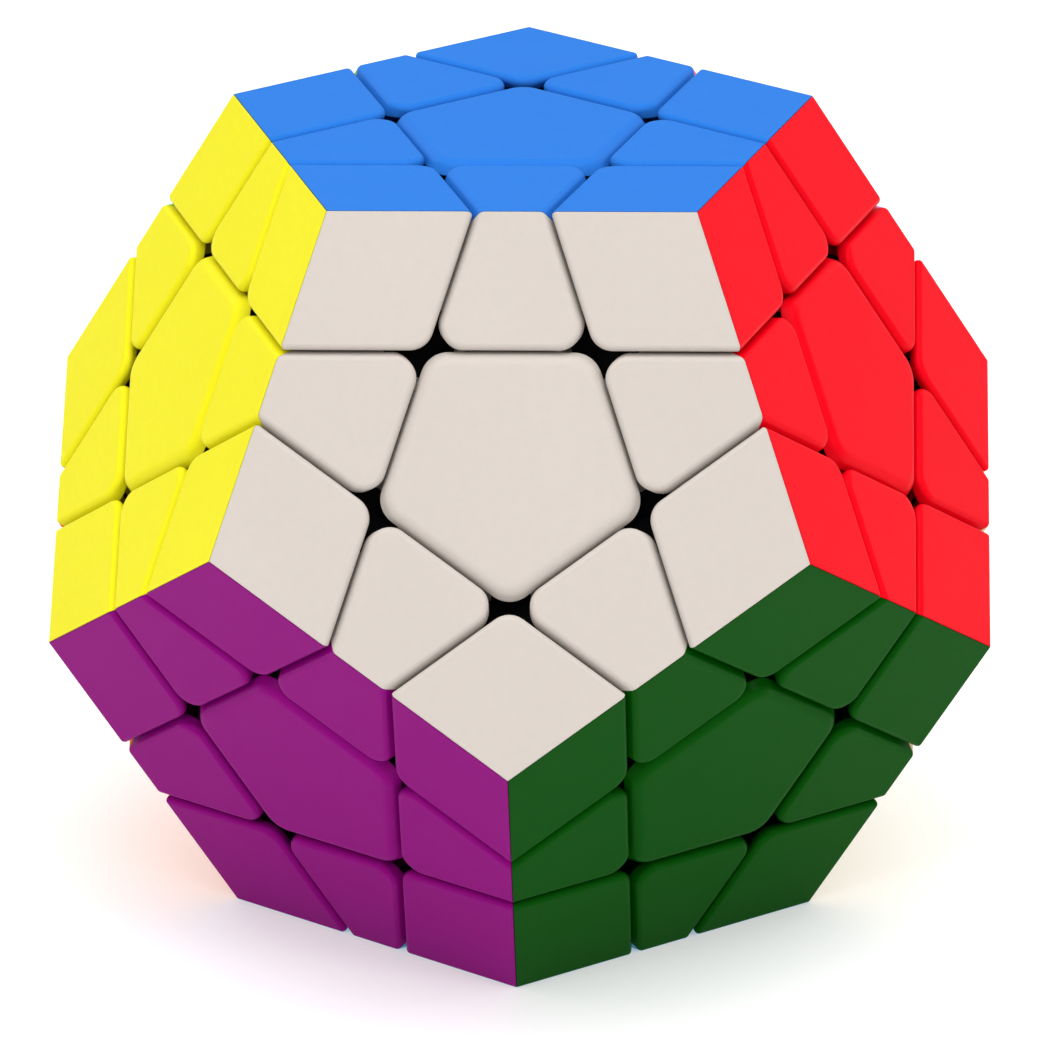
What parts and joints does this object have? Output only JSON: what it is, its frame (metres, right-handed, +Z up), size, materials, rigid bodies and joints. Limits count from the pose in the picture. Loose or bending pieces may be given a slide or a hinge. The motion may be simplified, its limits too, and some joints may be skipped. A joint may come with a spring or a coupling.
{
  "type": "dodecahedron twisty puzzle",
  "caption": "Twelve-sided turning puzzle standing on one face: coloured centre, edge and corner pieces held by interlocking feet round a sprung core, so each face layer turns.",
  "frame": {"origin": "centre of the bottom face, where the puzzle rests", "axes": "+Z up through the centre of the top face, -Y towards the side the front face leans to, +X to the right"},
  "size_m": [0.0864, 0.0908, 0.0735],
  "materials": {
    "black_plastic": "moulded nylon, dry satin",
    "steel": "zinc-plated",
    "blue_plastic": "coloured through, fine satin",
    "bone_plastic": "coloured through, fine satin",
    "red_plastic": "coloured through, fine satin",
    "yellow_plastic": "coloured through, fine satin",
    "purple_plastic": "coloured through, fine satin",
    "green_plastic": "coloured through, fine satin",
    "pink_plastic": "coloured through, fine satin",
    "lime_plastic": "coloured through, fine satin",
    "cream_plastic": "coloured through, fine satin",
    "grey_plastic": "coloured through, fine satin",
    "orange_plastic": "coloured through, fine satin",
    "light_blue_plastic": "coloured through, fine satin"
  },
  "bodies": {
    "core": {"core": "black_plastic", "screws": "steel", "springs_and_washers": "steel", "centre_bottom": "light_blue_plastic"},
    "centre_top": {"centre_top": "blue_plastic"},
    "centre_front": {"centre_front": "bone_plastic"},
    "centre_right": {"centre_right": "red_plastic"},
    "centre_back_right": {"centre_back_right": "pink_plastic"},
    "centre_back_left": {"centre_back_left": "lime_plastic"},
    "centre_left": {"centre_left": "yellow_plastic"},
    "centre_low_right": {"centre_low_right": "green_plastic", "edge_low_right-bottom": "green_plastic"},
    "centre_low_back_right": {"centre_low_back_right": "cream_plastic", "edge_low_back_right-bottom": "cream_plastic"},
    "centre_low_back": {"centre_low_back": "grey_plastic", "edge_low_back-bottom": "grey_plastic"},
    "centre_low_back_left": {"centre_low_back_left": "orange_plastic", "edge_low_back_left-bottom": "orange_plastic"},
    "centre_low_left": {"centre_low_left": "purple_plastic", "edge_low_left-bottom": "purple_plastic"},
    "edge_top-front": {"edge_top-front": "blue_plastic"},
    "edge_top-right": {"edge_top-right": "blue_plastic"},
    "edge_top-back_right": {"edge_top-back_right": "blue_plastic"},
    "edge_top-back_left": {"edge_top-back_left": "blue_plastic"},
    "edge_top-left": {"edge_top-left": "blue_plastic"},
    "edge_front-right": {"edge_front-right": "bone_plastic"},
    "edge_front-left": {"edge_front-left": "bone_plastic"},
    "edge_front-low_right": {"edge_front-low_right": "bone_plastic"},
    "edge_front-low_left": {"edge_front-low_left": "bone_plastic"},
    "edge_right-back_right": {"edge_right-back_right": "red_plastic"},
    "edge_right-low_right": {"edge_right-low_right": "red_plastic"},
    "edge_right-low_back_right": {"edge_right-low_back_right": "red_plastic"},
    "edge_back_right-back_left": {"edge_back_right-back_left": "pink_plastic"},
    "edge_back_right-low_back_right": {"edge_back_right-low_back_right": "pink_plastic"},
    "edge_back_right-low_back": {"edge_back_right-low_back": "pink_plastic"},
    "edge_back_left-left": {"edge_back_left-left": "lime_plastic"},
    "edge_back_left-low_back": {"edge_back_left-low_back": "lime_plastic"},
    "edge_back_left-low_back_left": {"edge_back_left-low_back_left": "lime_plastic"},
    "edge_left-low_back_left": {"edge_left-low_back_left": "yellow_plastic"},
    "edge_left-low_left": {"edge_left-low_left": "yellow_plastic"},
    "edge_low_right-low_back_right": {"edge_and_corner_low_right-low_back_right-bottom": "green_plastic"},
    "edge_low_right-low_left": {"edge_and_corner_low_right-low_left-bottom": "green_plastic"},
    "edge_low_back_right-low_back": {"edge_and_corner_low_back_right-low_back-bottom": "cream_plastic"},
    "edge_low_back-low_back_left": {"edge_and_corner_low_back-low_back_left-bottom": "grey_plastic"},
    "edge_low_back_left-low_left": {"edge_and_corner_low_back_left-low_left-bottom": "orange_plastic"},
    "corner_top-front-right": {"corner_top-front-right": "blue_plastic"},
    "corner_top-front-left": {"corner_top-front-left": "blue_plastic"},
    "corner_top-right-back_right": {"corner_top-right-back_right": "blue_plastic"},
    "corner_top-back_right-back_left": {"corner_top-back_right-back_left": "blue_plastic"},
    "corner_top-back_left-left": {"corner_top-back_left-left": "blue_plastic"},
    "corner_front-right-low_right": {"corner_front-right-low_right": "bone_plastic"},
    "corner_front-left-low_left": {"corner_front-left-low_left": "bone_plastic"},
    "corner_front-low_right-low_left": {"corner_front-low_right-low_left": "bone_plastic"},
    "corner_right-back_right-low_back_right": {"corner_right-back_right-low_back_right": "red_plastic"},
    "corner_right-low_right-low_back_right": {"corner_right-low_right-low_back_right": "red_plastic"},
    "corner_back_right-back_left-low_back": {"corner_back_right-back_left-low_back": "pink_plastic"},
    "corner_back_right-low_back_right-low_back": {"corner_back_right-low_back_right-low_back": "pink_plastic"},
    "corner_back_left-left-low_back_left": {"corner_back_left-left-low_back_left": "lime_plastic"},
    "corner_back_left-low_back-low_back_left": {"corner_back_left-low_back-low_back_left": "lime_plastic"},
    "corner_left-low_back_left-low_left": {"corner_left-low_back_left-low_left": "yellow_plastic"}
  },
  "joints": [
    {"name": "turn_top", "type": "hinge", "parent": "core", "child": "centre_top", "pos_m": [0, 0, 0.03675], "axis": [0, 0, 1], "range_deg": [-432, 504]},
    {"name": "turn_front", "type": "hinge", "parent": "core", "child": "centre_front", "pos_m": [0, 0, 0.03675], "axis": [0, -0.8944, 0.4472], "range_deg": [-432, 504]},
    {"name": "turn_right", "type": "hinge", "parent": "core", "child": "centre_right", "pos_m": [0, 0, 0.03675], "axis": [0.8507, -0.2764, 0.4472], "range_deg": [-432, 504]},
    {"name": "turn_back_right", "type": "hinge", "parent": "core", "child": "centre_back_right", "pos_m": [0, 0, 0.03675], "axis": [0.5257, 0.7236, 0.4472], "range_deg": [-432, 504]},
    {"name": "turn_back_left", "type": "hinge", "parent": "core", "child": "centre_back_left", "pos_m": [0, 0, 0.03675], "axis": [-0.5257, 0.7236, 0.4472], "range_deg": [-432, 504]},
    {"name": "turn_left", "type": "hinge", "parent": "core", "child": "centre_left", "pos_m": [0, 0, 0.03675], "axis": [-0.8507, -0.2764, 0.4472], "range_deg": [-432, 504]},
    {"name": "turn_low_right", "type": "hinge", "parent": "core", "child": "centre_low_right", "pos_m": [0, 0, 0.03675], "axis": [0.5257, -0.7236, -0.4472], "range_deg": [-432, 504]},
    {"name": "turn_low_back_right", "type": "hinge", "parent": "core", "child": "centre_low_back_right", "pos_m": [0, 0, 0.03675], "axis": [0.8507, 0.2764, -0.4472], "range_deg": [-432, 504]},
    {"name": "turn_low_back", "type": "hinge", "parent": "core", "child": "centre_low_back", "pos_m": [0, 0, 0.03675], "axis": [0, 0.8944, -0.4472], "range_deg": [-432, 504]},
    {"name": "turn_low_back_left", "type": "hinge", "parent": "core", "child": "centre_low_back_left", "pos_m": [0, 0, 0.03675], "axis": [-0.8507, 0.2764, -0.4472], "range_deg": [-432, 504]},
    {"name": "turn_low_left", "type": "hinge", "parent": "core", "child": "centre_low_left", "pos_m": [0, 0, 0.03675], "axis": [-0.5257, -0.7236, -0.4472], "range_deg": [-432, 504]},
    {"name": "edge_top-front_with_top", "type": "hinge", "parent": "centre_front", "child": "edge_top-front", "pos_m": [0, 0, 0.03675], "axis": [0, 0, 1], "range_deg": [-432, 504]},
    {"name": "edge_top-right_with_top", "type": "hinge", "parent": "centre_right", "child": "edge_top-right", "pos_m": [0, 0, 0.03675], "axis": [0, 0, 1], "range_deg": [-432, 504]},
    {"name": "edge_top-back_right_with_top", "type": "hinge", "parent": "centre_back_right", "child": "edge_top-back_right", "pos_m": [0, 0, 0.03675], "axis": [0, 0, 1], "range_deg": [-432, 504]},
    {"name": "edge_top-back_left_with_top", "type": "hinge", "parent": "centre_back_left", "child": "edge_top-back_left", "pos_m": [0, 0, 0.03675], "axis": [0, 0, 1], "range_deg": [-432, 504]},
    {"name": "edge_top-left_with_top", "type": "hinge", "parent": "centre_left", "child": "edge_top-left", "pos_m": [0, 0, 0.03675], "axis": [0, 0, 1], "range_deg": [-432, 504]},
    {"name": "edge_front-right_with_right", "type": "hinge", "parent": "centre_front", "child": "edge_front-right", "pos_m": [0, 0, 0.03675], "axis": [0.8507, -0.2764, 0.4472], "range_deg": [-432, 504]},
    {"name": "edge_front-left_with_front", "type": "hinge", "parent": "centre_left", "child": "edge_front-left", "pos_m": [0, 0, 0.03675], "axis": [0, -0.8944, 0.4472], "range_deg": [-432, 504]},
    {"name": "edge_front-low_right_with_front", "type": "hinge", "parent": "centre_low_right", "child": "edge_front-low_right", "pos_m": [0, 0, 0.03675], "axis": [0, -0.8944, 0.4472], "range_deg": [-432, 504]},
    {"name": "edge_front-low_left_with_front", "type": "hinge", "parent": "centre_low_left", "child": "edge_front-low_left", "pos_m": [0, 0, 0.03675], "axis": [0, -0.8944, 0.4472], "range_deg": [-432, 504]},
    {"name": "edge_right-back_right_with_back_right", "type": "hinge", "parent": "centre_right", "child": "edge_right-back_right", "pos_m": [0, 0, 0.03675], "axis": [0.5257, 0.7236, 0.4472], "range_deg": [-432, 504]},
    {"name": "edge_right-low_right_with_right", "type": "hinge", "parent": "centre_low_right", "child": "edge_right-low_right", "pos_m": [0, 0, 0.03675], "axis": [0.8507, -0.2764, 0.4472], "range_deg": [-432, 504]},
    {"name": "edge_right-low_back_right_with_right", "type": "hinge", "parent": "centre_low_back_right", "child": "edge_right-low_back_right", "pos_m": [0, 0, 0.03675], "axis": [0.8507, -0.2764, 0.4472], "range_deg": [-432, 504]},
    {"name": "edge_back_right-back_left_with_back_left", "type": "hinge", "parent": "centre_back_right", "child": "edge_back_right-back_left", "pos_m": [0, 0, 0.03675], "axis": [-0.5257, 0.7236, 0.4472], "range_deg": [-432, 504]},
    {"name": "edge_back_right-low_back_right_with_back_right", "type": "hinge", "parent": "centre_low_back_right", "child": "edge_back_right-low_back_right", "pos_m": [0, 0, 0.03675], "axis": [0.5257, 0.7236, 0.4472], "range_deg": [-432, 504]},
    {"name": "edge_back_right-low_back_with_back_right", "type": "hinge", "parent": "centre_low_back", "child": "edge_back_right-low_back", "pos_m": [0, 0, 0.03675], "axis": [0.5257, 0.7236, 0.4472], "range_deg": [-432, 504]},
    {"name": "edge_back_left-left_with_left", "type": "hinge", "parent": "centre_back_left", "child": "edge_back_left-left", "pos_m": [0, 0, 0.03675], "axis": [-0.8507, -0.2764, 0.4472], "range_deg": [-432, 504]},
    {"name": "edge_back_left-low_back_with_back_left", "type": "hinge", "parent": "centre_low_back", "child": "edge_back_left-low_back", "pos_m": [0, 0, 0.03675], "axis": [-0.5257, 0.7236, 0.4472], "range_deg": [-432, 504]},
    {"name": "edge_back_left-low_back_left_with_back_left", "type": "hinge", "parent": "centre_low_back_left", "child": "edge_back_left-low_back_left", "pos_m": [0, 0, 0.03675], "axis": [-0.5257, 0.7236, 0.4472], "range_deg": [-432, 504]},
    {"name": "edge_left-low_back_left_with_left", "type": "hinge", "parent": "centre_low_back_left", "child": "edge_left-low_back_left", "pos_m": [0, 0, 0.03675], "axis": [-0.8507, -0.2764, 0.4472], "range_deg": [-432, 504]},
    {"name": "edge_left-low_left_with_left", "type": "hinge", "parent": "centre_low_left", "child": "edge_left-low_left", "pos_m": [0, 0, 0.03675], "axis": [-0.8507, -0.2764, 0.4472], "range_deg": [-432, 504]},
    {"name": "edge_low_right-low_back_right_with_low_back_right", "type": "hinge", "parent": "centre_low_right", "child": "edge_low_right-low_back_right", "pos_m": [0, 0, 0.03675], "axis": [0.8507, 0.2764, -0.4472], "range_deg": [-432, 504]},
    {"name": "edge_low_right-low_left_with_low_right", "type": "hinge", "parent": "centre_low_left", "child": "edge_low_right-low_left", "pos_m": [0, 0, 0.03675], "axis": [0.5257, -0.7236, -0.4472], "range_deg": [-432, 504]},
    {"name": "edge_low_back_right-low_back_with_low_back", "type": "hinge", "parent": "centre_low_back_right", "child": "edge_low_back_right-low_back", "pos_m": [0, 0, 0.03675], "axis": [0, 0.8944, -0.4472], "range_deg": [-432, 504]},
    {"name": "edge_low_back-low_back_left_with_low_back_left", "type": "hinge", "parent": "centre_low_back", "child": "edge_low_back-low_back_left", "pos_m": [0, 0, 0.03675], "axis": [-0.8507, 0.2764, -0.4472], "range_deg": [-432, 504]},
    {"name": "edge_low_back_left-low_left_with_low_left", "type": "hinge", "parent": "centre_low_back_left", "child": "edge_low_back_left-low_left", "pos_m": [0, 0, 0.03675], "axis": [-0.5257, -0.7236, -0.4472], "range_deg": [-432, 504]},
    {"name": "corner_top-front-right_with_right", "type": "hinge", "parent": "edge_top-front", "child": "corner_top-front-right", "pos_m": [0, 0, 0.03675], "axis": [0.8507, -0.2764, 0.4472], "range_deg": [-432, 504]},
    {"name": "corner_top-front-left_with_front", "type": "hinge", "parent": "edge_top-left", "child": "corner_top-front-left", "pos_m": [0, 0, 0.03675], "axis": [0, -0.8944, 0.4472], "range_deg": [-432, 504]},
    {"name": "corner_top-right-back_right_with_back_right", "type": "hinge", "parent": "edge_top-right", "child": "corner_top-right-back_right", "pos_m": [0, 0, 0.03675], "axis": [0.5257, 0.7236, 0.4472], "range_deg": [-432, 504]},
    {"name": "corner_top-back_right-back_left_with_back_left", "type": "hinge", "parent": "edge_top-back_right", "child": "corner_top-back_right-back_left", "pos_m": [0, 0, 0.03675], "axis": [-0.5257, 0.7236, 0.4472], "range_deg": [-432, 504]},
    {"name": "corner_top-back_left-left_with_left", "type": "hinge", "parent": "edge_top-back_left", "child": "corner_top-back_left-left", "pos_m": [0, 0, 0.03675], "axis": [-0.8507, -0.2764, 0.4472], "range_deg": [-432, 504]},
    {"name": "corner_front-right-low_right_with_right", "type": "hinge", "parent": "edge_front-low_right", "child": "corner_front-right-low_right", "pos_m": [0, 0, 0.03675], "axis": [0.8507, -0.2764, 0.4472], "range_deg": [-432, 504]},
    {"name": "corner_front-left-low_left_with_front", "type": "hinge", "parent": "edge_left-low_left", "child": "corner_front-left-low_left", "pos_m": [0, 0, 0.03675], "axis": [0, -0.8944, 0.4472], "range_deg": [-432, 504]},
    {"name": "corner_front-low_right-low_left_with_low_left", "type": "hinge", "parent": "edge_front-low_right", "child": "corner_front-low_right-low_left", "pos_m": [0, 0, 0.03675], "axis": [-0.5257, -0.7236, -0.4472], "range_deg": [-432, 504]},
    {"name": "corner_right-back_right-low_back_right_with_back_right", "type": "hinge", "parent": "edge_right-low_back_right", "child": "corner_right-back_right-low_back_right", "pos_m": [0, 0, 0.03675], "axis": [0.5257, 0.7236, 0.4472], "range_deg": [-432, 504]},
    {"name": "corner_right-low_right-low_back_right_with_low_right", "type": "hinge", "parent": "edge_right-low_back_right", "child": "corner_right-low_right-low_back_right", "pos_m": [0, 0, 0.03675], "axis": [0.5257, -0.7236, -0.4472], "range_deg": [-432, 504]},
    {"name": "corner_back_right-back_left-low_back_with_back_left", "type": "hinge", "parent": "edge_back_right-low_back", "child": "corner_back_right-back_left-low_back", "pos_m": [0, 0, 0.03675], "axis": [-0.5257, 0.7236, 0.4472], "range_deg": [-432, 504]},
    {"name": "corner_back_right-low_back_right-low_back_with_low_back_right", "type": "hinge", "parent": "edge_back_right-low_back", "child": "corner_back_right-low_back_right-low_back", "pos_m": [0, 0, 0.03675], "axis": [0.8507, 0.2764, -0.4472], "range_deg": [-432, 504]},
    {"name": "corner_back_left-left-low_back_left_with_left", "type": "hinge", "parent": "edge_back_left-low_back_left", "child": "corner_back_left-left-low_back_left", "pos_m": [0, 0, 0.03675], "axis": [-0.8507, -0.2764, 0.4472], "range_deg": [-432, 504]},
    {"name": "corner_back_left-low_back-low_back_left_with_low_back", "type": "hinge", "parent": "edge_back_left-low_back_left", "child": "corner_back_left-low_back-low_back_left", "pos_m": [0, 0, 0.03675], "axis": [0, 0.8944, -0.4472], "range_deg": [-432, 504]},
    {"name": "corner_left-low_back_left-low_left_with_low_back_left", "type": "hinge", "parent": "edge_left-low_left", "child": "corner_left-low_back_left-low_left", "pos_m": [0, 0, 0.03675], "axis": [-0.8507, 0.2764, -0.4472], "range_deg": [-432, 504]}
  ],
  "couplings": [
    {"joint": "edge_top-front_with_top", "follows": "turn_top", "ratio": 1},
    {"joint": "edge_top-right_with_top", "follows": "turn_top", "ratio": 1},
    {"joint": "edge_top-back_right_with_top", "follows": "turn_top", "ratio": 1},
    {"joint": "edge_top-back_left_with_top", "follows": "turn_top", "ratio": 1},
    {"joint": "edge_top-left_with_top", "follows": "turn_top", "ratio": 1},
    {"joint": "edge_front-right_with_right", "follows": "turn_right", "ratio": 1},
    {"joint": "edge_front-left_with_front", "follows": "turn_front", "ratio": 1},
    {"joint": "edge_front-low_right_with_front", "follows": "turn_front", "ratio": 1},
    {"joint": "edge_front-low_left_with_front", "follows": "turn_front", "ratio": 1},
    {"joint": "edge_right-back_right_with_back_right", "follows": "turn_back_right", "ratio": 1},
    {"joint": "edge_right-low_right_with_right", "follows": "turn_right", "ratio": 1},
    {"joint": "edge_right-low_back_right_with_right", "follows": "turn_right", "ratio": 1},
    {"joint": "edge_back_right-back_left_with_back_left", "follows": "turn_back_left", "ratio": 1},
    {"joint": "edge_back_right-low_back_right_with_back_right", "follows": "turn_back_right", "ratio": 1},
    {"joint": "edge_back_right-low_back_with_back_right", "follows": "turn_back_right", "ratio": 1},
    {"joint": "edge_back_left-left_with_left", "follows": "turn_left", "ratio": 1},
    {"joint": "edge_back_left-low_back_with_back_left", "follows": "turn_back_left", "ratio": 1},
    {"joint": "edge_back_left-low_back_left_with_back_left", "follows": "turn_back_left", "ratio": 1},
    {"joint": "edge_left-low_back_left_with_left", "follows": "turn_left", "ratio": 1},
    {"joint": "edge_left-low_left_with_left", "follows": "turn_left", "ratio": 1},
    {"joint": "edge_low_right-low_back_right_with_low_back_right", "follows": "turn_low_back_right", "ratio": 1},
    {"joint": "edge_low_right-low_left_with_low_right", "follows": "turn_low_right", "ratio": 1},
    {"joint": "edge_low_back_right-low_back_with_low_back", "follows": "turn_low_back", "ratio": 1},
    {"joint": "edge_low_back-low_back_left_with_low_back_left", "follows": "turn_low_back_left", "ratio": 1},
    {"joint": "edge_low_back_left-low_left_with_low_left", "follows": "turn_low_left", "ratio": 1},
    {"joint": "corner_top-front-right_with_right", "follows": "turn_right", "ratio": 1},
    {"joint": "corner_top-front-left_with_front", "follows": "turn_front", "ratio": 1},
    {"joint": "corner_top-right-back_right_with_back_right", "follows": "turn_back_right", "ratio": 1},
    {"joint": "corner_top-back_right-back_left_with_back_left", "follows": "turn_back_left", "ratio": 1},
    {"joint": "corner_top-back_left-left_with_left", "follows": "turn_left", "ratio": 1},
    {"joint": "corner_front-right-low_right_with_right", "follows": "turn_right", "ratio": 1},
    {"joint": "corner_front-left-low_left_with_front", "follows": "turn_front", "ratio": 1},
    {"joint": "corner_front-low_right-low_left_with_low_left", "follows": "turn_low_left", "ratio": 1},
    {"joint": "corner_right-back_right-low_back_right_with_back_right", "follows": "turn_back_right", "ratio": 1},
    {"joint": "corner_right-low_right-low_back_right_with_low_right", "follows": "turn_low_right", "ratio": 1},
    {"joint": "corner_back_right-back_left-low_back_with_back_left", "follows": "turn_back_left", "ratio": 1},
    {"joint": "corner_back_right-low_back_right-low_back_with_low_back_right", "follows": "turn_low_back_right", "ratio": 1},
    {"joint": "corner_back_left-left-low_back_left_with_left", "follows": "turn_left", "ratio": 1},
    {"joint": "corner_back_left-low_back-low_back_left_with_low_back", "follows": "turn_low_back", "ratio": 1},
    {"joint": "corner_left-low_back_left-low_left_with_low_back_left", "follows": "turn_low_back_left", "ratio": 1}
  ]
}
